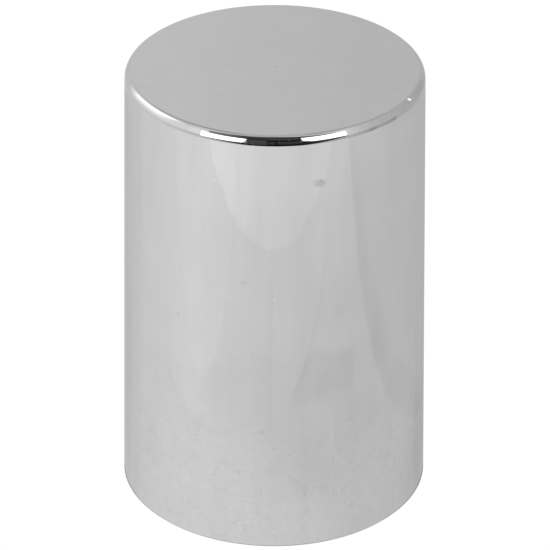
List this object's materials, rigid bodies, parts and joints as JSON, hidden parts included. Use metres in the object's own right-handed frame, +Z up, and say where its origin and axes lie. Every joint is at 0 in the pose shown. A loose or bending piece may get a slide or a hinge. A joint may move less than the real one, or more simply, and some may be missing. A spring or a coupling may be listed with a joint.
{
  "type": "wheel nut cover cap",
  "caption": "Tall round chromed cap with a flat closed end that pushes over a hexagonal wheel nut and hides the nut and its stud.",
  "frame": {"origin": "middle of the open rim, on the plane that the rim stands on", "axes": "+Z up the axis of the cap, from the open rim to the closed flat end; a corner of the nut's hexagon lies along +X"},
  "size_m": [0.051, 0.051, 0.0755],
  "materials": {
    "chrome_plating": "bright chrome plate on moulded plastic, mirror smooth outside"
  },
  "bodies": {
    "root": {"cap": "chrome_plating"}
  },
  "joints": []
}
